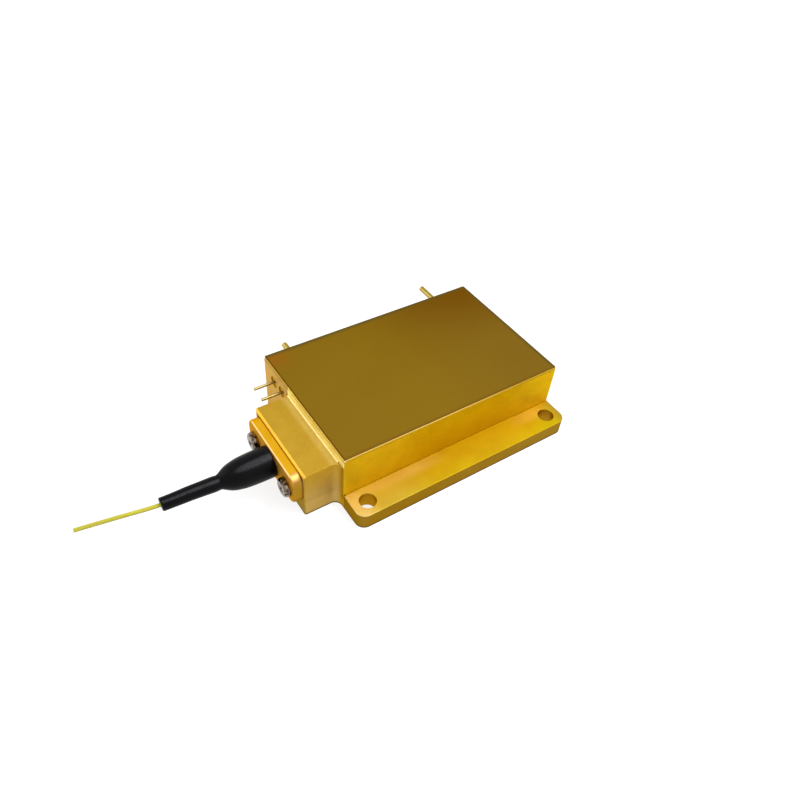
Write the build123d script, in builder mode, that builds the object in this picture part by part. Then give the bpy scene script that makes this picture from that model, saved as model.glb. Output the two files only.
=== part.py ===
from build123d import *
import math
import os

os.makedirs("parts", exist_ok=True)

# All sizes are in millimetres. The module stands on its underside, and the origin lies below
# the middle of its body. X runs from the fibre to the closed end, Y from the long flange to
# the power pins, and Z up.

# Body: one block, machined from above, with a nose for the fibre on its front face
body_length = 65.4
rim_height = 16.2
wall = 3.0
floor_thickness = 5.0
front_corner_radius = 0.5
rear_corner_radius = 0.6
cavity_corner_radius = 2.0
edge_chamfer = 0.12
chamfer_slope = 45

# Nose
nose_length = 9.0
nose_inset = 2.65
nose_width = 25.2
nose_height = 14.3
nose_side_fillet = 2.0
nose_top_fillet = 0.45
nose_front_chamfer = 0.45
nose_fillet_margin = 0.1
fibre_height = 8.75

# Flanges with the mounting holes
flange_thickness = 4.5
flange_width = 8.0
flange_front_radius = 2.5
flange_rear_radius = 2.7
flange_foot_fillet = 0.2
mount_hole_diameter = 4.4
mount_hole_from_side = 4.1
near_hole_inset = 4.25
far_flange_setback = 6.5
far_hole_inset = 17.5

# Lid and the solder frame under it
lid_thickness = 0.8
lid_inset = 0.1
lid_spigot_depth = 0.6
lid_spigot_clearance = 0.15
lid_seal_thickness = 0.1

# Plate that closes the nose, its gasket and its screws
plate_width = 23.8
plate_height = 9.0
plate_thickness = 2.2
plate_corner_radius = 2.4
plate_edge_chamfer = 0.3
gasket_thickness = 0.2
gasket_inset = 0.25
screw_spacing = 16.5
screw_drop = 0.8
screw_diameter = 2.5
screw_length = 8.0
screw_head_diameter = 5.0
screw_head_height = 1.5
screw_head_chamfer = 0.45
screw_recess_length = 2.6
screw_recess_width = 0.6
screw_recess_depth = 0.8
screw_clearance = 0.05
screw_turns = (20, 65)

# Fibre gland: a turned holder in the plate, with the glass capillary in its bore
holder_spigot_radius = 2.6
holder_spigot_length = 3.8
holder_barrel_radius = 3.45
holder_barrel_length = 7.0
holder_length = 11.0
holder_tail_radius = 2.6
holder_clearance = 0.05
capillary_radius = 1.25
capillary_length = 11.4
capillary_end = 7.4
capillary_clearance = 0.02
bare_fibre_radius = 0.15

# Fibre tube and the heat-shrunk boot over the gland
tube_diameter = 1.0
tube_clearance = 0.1
boot_gap = 0.2
boot_root_radius = 4.03
boot_shoulder = (5.5, 3.95)
boot_slope = (9.2, 3.54)
boot_fall = (12.0, 2.5)
boot_neck = (13.0, 1.87)
boot_tail_radius = 1.76
boot_length = 26.8

# Feedthrough pins
power_pin_diameter = 1.6
power_pin_neck_diameter = 1.2
positive_pin_from_rear = 7.9
negative_pin_from_front = 9.1
positive_pin_reach = 9.95
negative_pin_reach = 6.45
power_seal_diameter = 3.4
power_recess_diameter = 4.4
power_pin_inner_length = 2.3
signal_pin_diameter = 0.75
signal_pin_neck_diameter = 0.4
signal_pin_reach = 5.6
signal_pin_inner_length = 2.2
signal_seal_diameter = 1.9
signal_recess_diameter = 3.3
signal_pin_spacing = 4.4
signal_pin_from_nose = 3.7
signal_pin_from_far = 5.55
recess_depth = 0.35
pins_over_fibre = 3.55
pin_shoulder_gap = 0.1

# Emitters: each stands on a step of its own, and the steps fall towards the nose
emitter_count = 6
step_rise = 0.8
first_emitter_from_pin = 5.9
last_emitter_from_pin = 4.1
stair_margin = 2.0
submount_width = 4.4
submount_length = 5.0
submount_thickness = 0.6
submount_from_wall = 3.75
chip_width = 0.6
chip_length = 4.0
chip_thickness = 0.12
chip_setback = 0.05
fast_lens_width = 3.0
fast_lens_height = 1.0
fast_lens_depth = 0.6
fast_lens_sag = 0.25
slow_lens_width = 4.0
slow_lens_height = 1.3
slow_lens_depth = 1.5
slow_lens_sag = 0.5
slow_lens_from_chip = 4.6
mirror_width = 3.6
mirror_height = 1.0
mirror_thickness = 1.2

# Ribbons and straps
ribbon_thickness = 0.1
ribbon_width = 2.5
ribbon_foot = 0.7
ribbon_arch = 1.1
ribbon_from_middle = 0.9
ribbon_from_front = 1.5
strap_thickness = 0.3
strap_foot = 1.2
strap_overhang = 1.0
strap_bend = 0.25
strap_clearance = 0.4
strap_on_submount = 1.4
strap_from_wall = 0.5

# Focusing optics
lens_bore_radius = 3.5
lens_cell_length = 7.0
lens_cell_clearance = 0.05
lens_cell_wall = 0.6
focusing_lens_radius = 3.0
focusing_lens_edge = 1.6
focusing_lens_sag = 0.9
ferrule_bore_radius = 3.0
filter_width = 7.0
filter_height = 8.0
filter_thickness = 1.0
filter_from_wall = 4.5

# Thermistor
thermistor_pad_length = 3.0
thermistor_pad_margin = 0.45
thermistor_pad_thickness = 0.5
thermistor_length = 1.0
thermistor_width = 1.6
thermistor_height = 0.6
thermistor_from_edge = 0.4
thermistor_from_wall = 2.0
lead_thickness = 0.15
lead_width = 0.8
lead_foot = 0.9
lead_start = 0.6
lead_past_pin = 0.2

# Route of the fibre tube, from its start in the gland to its bare end. Each turn is a distance
# out from the plate's front, and distances across and up from the gland's axis.
bend_share = 0.45
fibre_turns = [
    (capillary_end, 0.0, 0.0),
    (13.6, 0.0, 0.0),
    (20.3, 0.25, 0.3),
    (27.1, 0.5, -0.03),
    (36.1, 2.2, -0.15),
    (45.0, 3.7, -0.35),
]

# Places that follow from the sizes. The body is as wide as its nose and the signal pins beside
# the nose need.
body_width = (
    nose_inset + nose_width + signal_pin_from_nose + signal_pin_spacing + signal_pin_from_far
)
front = -body_length / 2
rear = body_length / 2
near_side = -body_width / 2
far_side = body_width / 2
cavity_front = front + wall
cavity_far = far_side - wall
cavity_length = body_length - 2 * wall
cavity_width = body_width - 2 * wall
nose_front = front - nose_length
nose_far = near_side + nose_inset + nose_width
fibre_y = nose_far - nose_width / 2
nose_ledge = nose_inset - front_corner_radius
nose_side_radius = min(nose_side_fillet, nose_ledge - nose_fillet_margin)
plate_back = nose_front - gasket_thickness
plate_front = plate_back - plate_thickness
positive_pin_x = rear - positive_pin_from_rear
negative_pin_x = front + negative_pin_from_front
pin_height = fibre_height + pins_over_fibre
signal_pin_ys = [nose_far + signal_pin_from_nose + n * signal_pin_spacing for n in range(2)]
screw_ys = [fibre_y - screw_spacing / 2, fibre_y + screw_spacing / 2]
screw_height = fibre_height - screw_drop
tube_radius = tube_diameter / 2
beam_over_step = submount_thickness + chip_thickness / 2
first_emitter_x = negative_pin_x + first_emitter_from_pin
last_emitter_x = positive_pin_x - last_emitter_from_pin
emitter_pitch = (last_emitter_x - first_emitter_x) / (emitter_count - 1)
emitter_xs = [first_emitter_x + n * emitter_pitch for n in range(emitter_count)]
step_tops = [
    fibre_height + (n - (emitter_count - 1) / 2) * step_rise - beam_over_step
    for n in range(emitter_count)
]
submount_back = cavity_far - submount_from_wall
submount_front = submount_back - submount_length
stair_far = submount_back + stair_margin / 2
stair_near = fibre_y - mirror_width / 2 - stair_margin


def bent_strip(points, thickness, bend, far_edge, width):
    """Strip of sheet metal: its underside follows the points in XZ, and it is width wide in Y."""
    with BuildPart() as strip:
        with BuildSketch(Plane.XZ.offset(-far_edge)):
            with BuildLine():
                FilletPolyline(*points, radius=bend)
                offset(amount=thickness, side=Side.LEFT)
            make_face()
        extrude(amount=width)
    return strip


def raise_bevelled(outline, height):
    """Raise the outline that was just drawn to this height, with a small chamfer round its top."""
    extrude(amount=height - edge_chamfer)
    with BuildSketch(Plane.XY.offset(height - edge_chamfer)) as bevel_foot:
        add(outline.sketch_local)
    extrude(bevel_foot.sketch, amount=edge_chamfer, taper=chamfer_slope)


# Housing: the body, its nose and flanges, the stair in its cavity, and the bores in its walls
with BuildPart() as housing:
    with BuildSketch() as body_outline:
        Rectangle(body_length, body_width)
        fillet(body_outline.vertices().group_by(Axis.X)[0], front_corner_radius)
        fillet(body_outline.vertices().group_by(Axis.X)[-1], rear_corner_radius)
    extrude(amount=rim_height)

    # The nose meets the front face in an upright fillet on each side. A strip inside the body,
    # as wide as its front face, gives the outline the corners that these fillets run in.
    with BuildSketch() as nose_outline:
        with Locations((front, 0)):
            Rectangle(wall, body_width - 2 * front_corner_radius, align=(Align.MIN, Align.CENTER))
        with Locations((front, fibre_y)):
            Rectangle(nose_length, nose_width, align=(Align.MAX, Align.CENTER))
        fillet(nose_outline.vertices().group_by(Axis.X)[1].sort_by(Axis.Y)[1:3], nose_side_radius)
        fillet(nose_outline.vertices().group_by(Axis.X)[0], front_corner_radius)
    raise_bevelled(nose_outline, nose_height)

    with BuildSketch() as near_flange:
        with Locations((0, near_side + wall)):
            Rectangle(body_length, flange_width + wall, align=(Align.CENTER, Align.MAX))
        fillet(near_flange.vertices().group_by(Axis.Y)[0].sort_by(Axis.X)[0], flange_front_radius)
        fillet(near_flange.vertices().group_by(Axis.Y)[0].sort_by(Axis.X)[-1], flange_rear_radius)
    raise_bevelled(near_flange, flange_thickness)

    with BuildSketch() as far_flange:
        with Locations((0, far_side - wall)):
            Rectangle(
                body_length - 2 * far_flange_setback,
                flange_width + wall,
                align=(Align.CENTER, Align.MIN),
            )
        fillet(far_flange.vertices().group_by(Axis.Y)[-1], flange_rear_radius)
    raise_bevelled(far_flange, flange_thickness)

    # Small radii run along the foot of each side wall and of the front face, above the nose.
    far_foot_start = front + far_flange_setback + edge_chamfer
    feet = (
        (near_side, -1, front + front_corner_radius, rear - rear_corner_radius),
        (far_side, 1, far_foot_start, -far_foot_start),
    )
    for foot_y, side, foot_start, foot_end in feet:
        with BuildSketch(Plane.YZ.offset(foot_start)):
            with BuildLine():
                Polyline(
                    (foot_y, flange_thickness + flange_foot_fillet),
                    (foot_y, flange_thickness),
                    (foot_y + side * flange_foot_fillet, flange_thickness),
                )
                RadiusArc(
                    (foot_y + side * flange_foot_fillet, flange_thickness),
                    (foot_y, flange_thickness + flange_foot_fillet),
                    side * flange_foot_fillet,
                )
            make_face()
        extrude(amount=foot_end - foot_start)
    with BuildSketch(Plane.XZ.offset(-nose_far)):
        with BuildLine():
            Polyline(
                (front, nose_height + nose_top_fillet),
                (front, nose_height),
                (front - nose_top_fillet, nose_height),
            )
            RadiusArc(
                (front - nose_top_fillet, nose_height),
                (front, nose_height + nose_top_fillet),
                -nose_top_fillet,
            )
        make_face()
    extrude(amount=nose_width)

    # The cutter for the wide bevel on the nose's front edge runs out past both its faces.
    with BuildSketch(Plane.XZ.offset(-nose_far)):
        with BuildLine():
            Polyline(
                (nose_front - nose_front_chamfer, nose_height - 2 * nose_front_chamfer),
                (nose_front + 2 * nose_front_chamfer, nose_height + nose_front_chamfer),
                (nose_front - nose_front_chamfer, nose_height + nose_front_chamfer),
                close=True,
            )
        make_face()
    extrude(amount=nose_width, mode=Mode.SUBTRACT)

    with BuildSketch(Plane.XY.offset(floor_thickness)):
        RectangleRounded(cavity_length, cavity_width, cavity_corner_radius)
    extrude(amount=rim_height - floor_thickness, mode=Mode.SUBTRACT)

    for emitter_x, step_top in zip(emitter_xs, step_tops):
        with BuildSketch(Plane.XY.offset(floor_thickness)):
            with Locations((emitter_x, stair_near)):
                Rectangle(emitter_pitch, stair_far - stair_near, align=(Align.CENTER, Align.MIN))
        extrude(amount=step_top - floor_thickness)

    # The lens cell sits in the wider bore, and the fibre gland reaches into the narrower one.
    with BuildSketch(Plane.YZ.offset(cavity_front)):
        with Locations((fibre_y, fibre_height)):
            Circle(lens_bore_radius)
    extrude(amount=-lens_cell_length, mode=Mode.SUBTRACT)
    with BuildSketch(Plane.YZ.offset(nose_front)):
        with Locations((fibre_y, fibre_height)):
            Circle(ferrule_bore_radius)
    extrude(amount=nose_length + wall - lens_cell_length, mode=Mode.SUBTRACT)
    with BuildSketch(Plane.YZ.offset(nose_front)):
        with Locations(*[(screw_y, screw_height) for screw_y in screw_ys]):
            Circle(screw_diameter / 2 + screw_clearance)
    extrude(amount=screw_length, mode=Mode.SUBTRACT)

    with BuildSketch(Plane.YZ.offset(front)):
        with Locations(*[(pin_y, pin_height) for pin_y in signal_pin_ys]):
            Circle(signal_recess_diameter / 2)
    extrude(amount=recess_depth, mode=Mode.SUBTRACT)
    with BuildSketch(Plane.YZ.offset(front)):
        with Locations(*[(pin_y, pin_height) for pin_y in signal_pin_ys]):
            Circle(signal_seal_diameter / 2)
    extrude(amount=wall, mode=Mode.SUBTRACT)
    with BuildSketch(Plane.XZ.offset(-far_side)):
        with Locations(*[(pin_x, pin_height) for pin_x in (negative_pin_x, positive_pin_x)]):
            Circle(power_recess_diameter / 2)
    extrude(amount=recess_depth, mode=Mode.SUBTRACT)
    with BuildSketch(Plane.XZ.offset(-far_side)):
        with Locations(*[(pin_x, pin_height) for pin_x in (negative_pin_x, positive_pin_x)]):
            Circle(power_seal_diameter / 2)
    extrude(amount=wall, mode=Mode.SUBTRACT)

    near_hole_x = body_length / 2 - near_hole_inset
    far_hole_x = body_length / 2 - far_hole_inset
    near_hole_y = near_side - mount_hole_from_side
    far_hole_y = far_side + mount_hole_from_side
    with Locations(
        (-near_hole_x, near_hole_y, flange_thickness),
        (near_hole_x, near_hole_y, flange_thickness),
        (-far_hole_x, far_hole_y, flange_thickness),
        (far_hole_x, far_hole_y, flange_thickness),
    ):
        Hole(mount_hole_diameter / 2, depth=flange_thickness)
housing.part.label = "housing"
export_step(housing.part, "parts/housing.step")

# Lid, with a shallow step that drops into the cavity, on a frame of solder
seal_top = rim_height + lid_seal_thickness
with BuildPart() as lid_seal:
    with BuildSketch(Plane.XY.offset(rim_height)):
        with BuildSketch(Plane.XY) as lid_outline:
            Rectangle(body_length - 2 * lid_inset, body_width - 2 * lid_inset)
            fillet(lid_outline.vertices().group_by(Axis.X)[0], front_corner_radius)
            fillet(lid_outline.vertices().group_by(Axis.X)[-1], rear_corner_radius)
        RectangleRounded(cavity_length, cavity_width, cavity_corner_radius, mode=Mode.SUBTRACT)
    extrude(amount=lid_seal_thickness)
lid_seal.part.label = "lid_seal"
export_step(lid_seal.part, "parts/lid_seal.step")

with BuildPart() as lid:
    with BuildSketch(Plane.XY.offset(seal_top)):
        add(lid_outline.sketch_local)
    extrude(amount=lid_thickness)
    chamfer(lid.faces().sort_by(Axis.Z)[-1].edges(), edge_chamfer)
    with BuildSketch(Plane.XY.offset(seal_top)):
        RectangleRounded(
            cavity_length - 2 * lid_spigot_clearance,
            cavity_width - 2 * lid_spigot_clearance,
            cavity_corner_radius,
        )
    extrude(amount=-lid_spigot_depth)
lid.part.label = "lid"
export_step(lid.part, "parts/lid.step")

# Plate on the nose, with its gasket
with BuildPart() as plate_gasket:
    with BuildSketch(Plane.YZ.offset(nose_front)):
        with Locations((fibre_y, fibre_height)):
            RectangleRounded(
                plate_width - 2 * gasket_inset, plate_height - 2 * gasket_inset, plate_corner_radius
            )
            Circle(ferrule_bore_radius, mode=Mode.SUBTRACT)
        with Locations(*[(screw_y, screw_height) for screw_y in screw_ys]):
            Circle(screw_diameter / 2 + screw_clearance, mode=Mode.SUBTRACT)
    extrude(amount=-gasket_thickness)
plate_gasket.part.label = "plate_gasket"
export_step(plate_gasket.part, "parts/plate_gasket.step")

with BuildPart() as fibre_plate:
    with BuildSketch(Plane.YZ.offset(plate_back)):
        with Locations((fibre_y, fibre_height)):
            RectangleRounded(plate_width, plate_height, plate_corner_radius)
            Circle(holder_spigot_radius + holder_clearance, mode=Mode.SUBTRACT)
        with Locations(*[(screw_y, screw_height) for screw_y in screw_ys]):
            Circle(screw_diameter / 2 + screw_clearance, mode=Mode.SUBTRACT)
    extrude(amount=-plate_thickness)
    chamfer(fibre_plate.faces().sort_by(Axis.X)[0].outer_wire().edges(), plate_edge_chamfer)
fibre_plate.part.label = "fibre_plate"
export_step(fibre_plate.part, "parts/fibre_plate.step")

# Screws that hold the plate, each turned to its own angle
screw_tip = nose_front + screw_length - screw_clearance
head_top = plate_front - screw_head_height
with BuildPart() as plate_screws:
    for screw_y, turn in zip(screw_ys, screw_turns):
        with BuildSketch(Plane.YZ.offset(plate_front)):
            with Locations((screw_y, screw_height)):
                Circle(screw_head_diameter / 2)
        extrude(amount=-screw_head_height)
        head_rim = plate_screws.faces(Select.LAST).sort_by(Axis.X)[0].edges()
        chamfer(head_rim, screw_head_chamfer)
        with BuildSketch(Plane.YZ.offset(plate_front)):
            with Locations((screw_y, screw_height)):
                Circle(screw_diameter / 2)
        extrude(amount=screw_tip - plate_front)
        with BuildSketch(Plane.YZ.offset(head_top)):
            with Locations((screw_y, screw_height)):
                Rectangle(screw_recess_length, screw_recess_width, rotation=turn)
                Rectangle(screw_recess_width, screw_recess_length, rotation=turn)
        extrude(amount=screw_recess_depth, mode=Mode.SUBTRACT)
plate_screws.part.label = "plate_screws"
export_step(plate_screws.part, "parts/plate_screws.step")

# Fibre gland, turned about the fibre's axis. Places along it are counted out from the plate.
fibre_axis = Axis((plate_front, fibre_y, fibre_height), (-1, 0, 0))


def gland_point(distance, radius=0.0):
    """Point this far out from the plate's front, and this far off the gland's axis."""
    return (plate_front - distance, fibre_y + radius)


capillary_bore = capillary_radius + capillary_clearance
tube_bore = tube_radius + tube_clearance
with BuildPart() as ferrule_holder:
    with BuildSketch(Plane.XY.offset(fibre_height)):
        with BuildLine():
            Polyline(
                gland_point(-holder_spigot_length, capillary_bore),
                gland_point(-holder_spigot_length, holder_spigot_radius),
                gland_point(0, holder_spigot_radius),
                gland_point(0, holder_barrel_radius),
                gland_point(holder_barrel_length, holder_barrel_radius),
                gland_point(holder_barrel_length, holder_tail_radius),
                gland_point(holder_length, holder_tail_radius),
                gland_point(holder_length, tube_bore),
                gland_point(capillary_end, tube_bore),
                gland_point(capillary_end, capillary_bore),
                close=True,
            )
        make_face()
    revolve(axis=fibre_axis)
ferrule_holder.part.label = "ferrule_holder"
export_step(ferrule_holder.part, "parts/ferrule_holder.step")

capillary_tip = plate_front - capillary_end + capillary_length
with BuildPart() as fibre_capillary:
    with BuildSketch(Plane.YZ.offset(capillary_tip)):
        with Locations((fibre_y, fibre_height)):
            Circle(capillary_radius)
            Circle(bare_fibre_radius, mode=Mode.SUBTRACT)
    extrude(amount=-capillary_length)
fibre_capillary.part.label = "fibre_capillary"
export_step(fibre_capillary.part, "parts/fibre_capillary.step")

with BuildPart() as optical_fibre:
    with BuildSketch(Plane.YZ.offset(capillary_tip)):
        with Locations((fibre_y, fibre_height)):
            Circle(bare_fibre_radius)
    extrude(amount=-capillary_length)
optical_fibre.part.label = "optical_fibre"
export_step(optical_fibre.part, "parts/optical_fibre.step")

# Fibre tube. Each bend is as wide as the runs beside it allow.
fibre_route = [
    Vector(plate_front - out, fibre_y + across, fibre_height + up) for out, across, up in fibre_turns
]
fibre_runs = [after - before for before, after in zip(fibre_route, fibre_route[1:])]
fibre_bends = [
    bend_share * min(before.length, after.length) / math.tan(math.radians(before.get_angle(after)) / 2)
    for before, after in zip(fibre_runs, fibre_runs[1:])
]
print("fibre tube bends", [round(bend, 1) for bend in fibre_bends])
with BuildLine() as fibre_path:
    FilletPolyline(*fibre_route, radius=fibre_bends)
fibre_line = fibre_path.wire()
fibre_start = Plane(origin=fibre_line @ 0, z_dir=fibre_line % 0)
with BuildPart() as fibre_tube:
    with BuildSketch(fibre_start):
        Circle(tube_radius)
    sweep(path=fibre_line)
fibre_tube.part.label = "fibre_tube"
export_step(fibre_tube.part, "parts/fibre_tube.step")
print("fibre tube length", round(fibre_line.length, 2))

# Heat-shrunk boot: a bulb shrunk tight on the gland, and a tail that follows the fibre tube
boot_end = boot_length - capillary_end
boot_end_plane = Plane(
    origin=fibre_line.position_at(boot_end, PositionMode.LENGTH),
    z_dir=fibre_line.tangent_at(boot_end, PositionMode.LENGTH),
)
with BuildPart() as strain_relief_boot:
    with BuildSketch(fibre_start):
        Circle(boot_tail_radius)
    sweep(path=fibre_line)
    split(bisect_by=boot_end_plane, keep=Keep.BOTTOM)
    with BuildSketch(Plane.XY.offset(fibre_height)):
        with BuildLine():
            back = ThreePointArc(
                gland_point(boot_gap, boot_root_radius),
                gland_point(*boot_shoulder),
                gland_point(*boot_slope),
            )
            TangentArc(gland_point(*boot_slope), gland_point(*boot_fall), tangent=back % 1)
            Polyline(
                gland_point(*boot_fall),
                gland_point(*boot_neck),
                gland_point(boot_neck[0]),
                gland_point(boot_gap),
                gland_point(boot_gap, boot_root_radius),
            )
        make_face()
    revolve(axis=fibre_axis)
    with BuildSketch(Plane.XY.offset(fibre_height)):
        with BuildLine():
            Polyline(
                gland_point(0),
                gland_point(0, holder_barrel_radius),
                gland_point(holder_barrel_length, holder_barrel_radius),
                gland_point(holder_barrel_length, holder_tail_radius),
                gland_point(holder_length, holder_tail_radius),
                gland_point(holder_length),
                close=True,
            )
        make_face()
    revolve(axis=fibre_axis, mode=Mode.SUBTRACT)
    with BuildSketch(fibre_start):
        Circle(tube_bore)
    sweep(path=fibre_line, mode=Mode.SUBTRACT)
strain_relief_boot.part.label = "strain_relief_boot"
export_step(strain_relief_boot.part, "parts/strain_relief_boot.step")

# Power pins through the far wall. Each has a shoulder outside its glass seal, and a neck from
# there inwards.
seal_depth = wall - recess_depth
power_pins = {
    "positive": (positive_pin_x, positive_pin_reach),
    "negative": (negative_pin_x, negative_pin_reach),
}
for polarity, (pin_x, pin_reach) in power_pins.items():
    with BuildPart() as power_pin:
        with BuildSketch(Plane.XZ.offset(-far_side - pin_reach)):
            with Locations((pin_x, pin_height)):
                Circle(power_pin_diameter / 2)
        extrude(amount=pin_reach + recess_depth - pin_shoulder_gap)
        with BuildSketch(Plane.XZ.offset(-cavity_far + power_pin_inner_length)):
            with Locations((pin_x, pin_height)):
                Circle(power_pin_neck_diameter / 2)
        extrude(amount=-power_pin_inner_length - seal_depth - pin_shoulder_gap)
    power_pin.part.label = f"power_pin_{polarity}"
    export_step(power_pin.part, f"parts/power_pin_{polarity}.step")

    with BuildPart() as power_seal:
        with BuildSketch(Plane.XZ.offset(recess_depth - far_side)):
            with Locations((pin_x, pin_height)):
                Circle(power_seal_diameter / 2)
                Circle(power_pin_neck_diameter / 2, mode=Mode.SUBTRACT)
        extrude(amount=seal_depth)
    power_seal.part.label = f"power_seal_{polarity}"
    export_step(power_seal.part, f"parts/power_seal_{polarity}.step")

# Signal pins through the front wall beside the nose
for number, pin_y in enumerate(signal_pin_ys, 1):
    with BuildPart() as signal_pin:
        with BuildSketch(Plane.YZ.offset(front - signal_pin_reach)):
            with Locations((pin_y, pin_height)):
                Circle(signal_pin_diameter / 2)
        extrude(amount=signal_pin_reach + recess_depth - pin_shoulder_gap)
        with BuildSketch(Plane.YZ.offset(cavity_front + signal_pin_inner_length)):
            with Locations((pin_y, pin_height)):
                Circle(signal_pin_neck_diameter / 2)
        extrude(amount=-signal_pin_inner_length - seal_depth - pin_shoulder_gap)
    signal_pin.part.label = f"signal_pin_{number}"
    export_step(signal_pin.part, f"parts/signal_pin_{number}.step")

    with BuildPart() as signal_seal:
        with BuildSketch(Plane.YZ.offset(front + recess_depth)):
            with Locations((pin_y, pin_height)):
                Circle(signal_seal_diameter / 2)
                Circle(signal_pin_neck_diameter / 2, mode=Mode.SUBTRACT)
        extrude(amount=seal_depth)
    signal_seal.part.label = f"signal_seal_{number}"
    export_step(signal_seal.part, f"parts/signal_seal_{number}.step")

# Emitters: on each step a chip on its submount, two collimating lenses and a turning mirror
fast_lens_edge = submount_front - fast_lens_depth + fast_lens_sag
slow_lens_back = submount_front - slow_lens_from_chip
slow_lens_edge = slow_lens_back - slow_lens_depth + slow_lens_sag
for number, (emitter_x, step_top) in enumerate(zip(emitter_xs, step_tops), 1):
    with BuildPart() as submount:
        with BuildSketch(Plane.XY.offset(step_top)):
            with Locations((emitter_x, submount_front)):
                Rectangle(submount_width, submount_length, align=(Align.CENTER, Align.MIN))
        extrude(amount=submount_thickness)
    submount.part.label = f"submount_{number}"
    export_step(submount.part, f"parts/submount_{number}.step")

    with BuildPart() as laser_chip:
        with BuildSketch(Plane.XY.offset(step_top + submount_thickness)):
            with Locations((emitter_x, submount_front + chip_setback)):
                Rectangle(chip_width, chip_length, align=(Align.CENTER, Align.MIN))
        extrude(amount=chip_thickness)
    laser_chip.part.label = f"laser_chip_{number}"
    export_step(laser_chip.part, f"parts/laser_chip_{number}.step")

    beam_height = step_top + beam_over_step
    fast_lens_top = beam_height + fast_lens_height / 2
    fast_lens_foot = beam_height - fast_lens_height / 2
    with BuildPart() as fast_axis_lens:
        with BuildSketch(Plane.YZ.offset(emitter_x - fast_lens_width / 2)):
            with BuildLine():
                Polyline(
                    (fast_lens_edge, fast_lens_top),
                    (submount_front, fast_lens_top),
                    (submount_front, fast_lens_foot),
                    (fast_lens_edge, fast_lens_foot),
                )
                ThreePointArc(
                    (fast_lens_edge, fast_lens_foot),
                    (submount_front - fast_lens_depth, beam_height),
                    (fast_lens_edge, fast_lens_top),
                )
            make_face()
        extrude(amount=fast_lens_width)
    fast_axis_lens.part.label = f"fast_axis_lens_{number}"
    export_step(fast_axis_lens.part, f"parts/fast_axis_lens_{number}.step")

    slow_lens_left = emitter_x - slow_lens_width / 2
    slow_lens_right = emitter_x + slow_lens_width / 2
    with BuildPart() as slow_axis_lens:
        with BuildSketch(Plane.XY.offset(step_top)):
            with BuildLine():
                Polyline(
                    (slow_lens_left, slow_lens_edge),
                    (slow_lens_left, slow_lens_back),
                    (slow_lens_right, slow_lens_back),
                    (slow_lens_right, slow_lens_edge),
                )
                ThreePointArc(
                    (slow_lens_right, slow_lens_edge),
                    (emitter_x, slow_lens_back - slow_lens_depth),
                    (slow_lens_left, slow_lens_edge),
                )
            make_face()
        extrude(amount=slow_lens_height)
    slow_axis_lens.part.label = f"slow_axis_lens_{number}"
    export_step(slow_axis_lens.part, f"parts/slow_axis_lens_{number}.step")

    # The mirror's face looks towards the chip and the nose, halfway between the two.
    mirror_plane = Plane(origin=(emitter_x, fibre_y, step_top), x_dir=(1, 1, 0), z_dir=(0, 0, 1))
    with BuildPart() as turning_mirror:
        with BuildSketch(mirror_plane):
            Rectangle(mirror_width, mirror_thickness, align=(Align.CENTER, Align.MAX))
        extrude(amount=mirror_height)
    turning_mirror.part.label = f"turning_mirror_{number}"
    export_step(turning_mirror.part, f"parts/turning_mirror_{number}.step")

# Ribbons that join the chips in a row, each an arch from one submount up to the next
with BuildPart() as bond_ribbons:
    for emitter_x, next_x, step_top in zip(emitter_xs, emitter_xs[1:], step_tops):
        low = step_top + submount_thickness
        left = emitter_x + ribbon_from_middle
        right = next_x - ribbon_from_middle
        arch_top = low + step_rise + ribbon_arch
        with BuildSketch(Plane.XZ.offset(-submount_front - ribbon_from_front)):
            with BuildLine():
                Line((left, low), (left + ribbon_foot, low))
                ThreePointArc(
                    (left + ribbon_foot, low),
                    ((left + right) / 2, arch_top),
                    (right - ribbon_foot, low + step_rise),
                )
                Line((right - ribbon_foot, low + step_rise), (right, low + step_rise))
                offset(amount=ribbon_thickness, side=Side.LEFT)
            make_face()
        extrude(amount=-ribbon_width)
bond_ribbons.part.label = "bond_ribbons"
export_step(bond_ribbons.part, "parts/bond_ribbons.step")

# Straps from the power pins to the first and the last submount
under_pin = pin_height - power_pin_neck_diameter / 2 - strap_thickness
beside_pin = power_pin_neck_diameter / 2 + strap_clearance
beside_submount = submount_width / 2 + strap_clearance
strap_edge = cavity_far - strap_from_wall
strap_width = strap_edge - submount_back + strap_on_submount
first_top = step_tops[0] + submount_thickness
last_top = step_tops[-1] + submount_thickness
negative_points = [
    (negative_pin_x - strap_overhang, under_pin),
    (negative_pin_x + beside_pin, under_pin),
    (first_emitter_x - beside_submount, first_top),
    (first_emitter_x - submount_width / 2 + strap_foot, first_top),
]
lead_strap_negative = bent_strip(negative_points, strap_thickness, strap_bend, strap_edge, strap_width)
lead_strap_negative.part.label = "lead_strap_negative"
export_step(lead_strap_negative.part, "parts/lead_strap_negative.step")
positive_points = [
    (last_emitter_x + submount_width / 2 - strap_foot, last_top),
    (last_emitter_x + beside_submount, last_top),
    (positive_pin_x - beside_pin, under_pin),
    (positive_pin_x + strap_overhang, under_pin),
]
lead_strap_positive = bent_strip(positive_points, strap_thickness, strap_bend, strap_edge, strap_width)
lead_strap_positive.part.label = "lead_strap_positive"
export_step(lead_strap_positive.part, "parts/lead_strap_positive.step")

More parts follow.
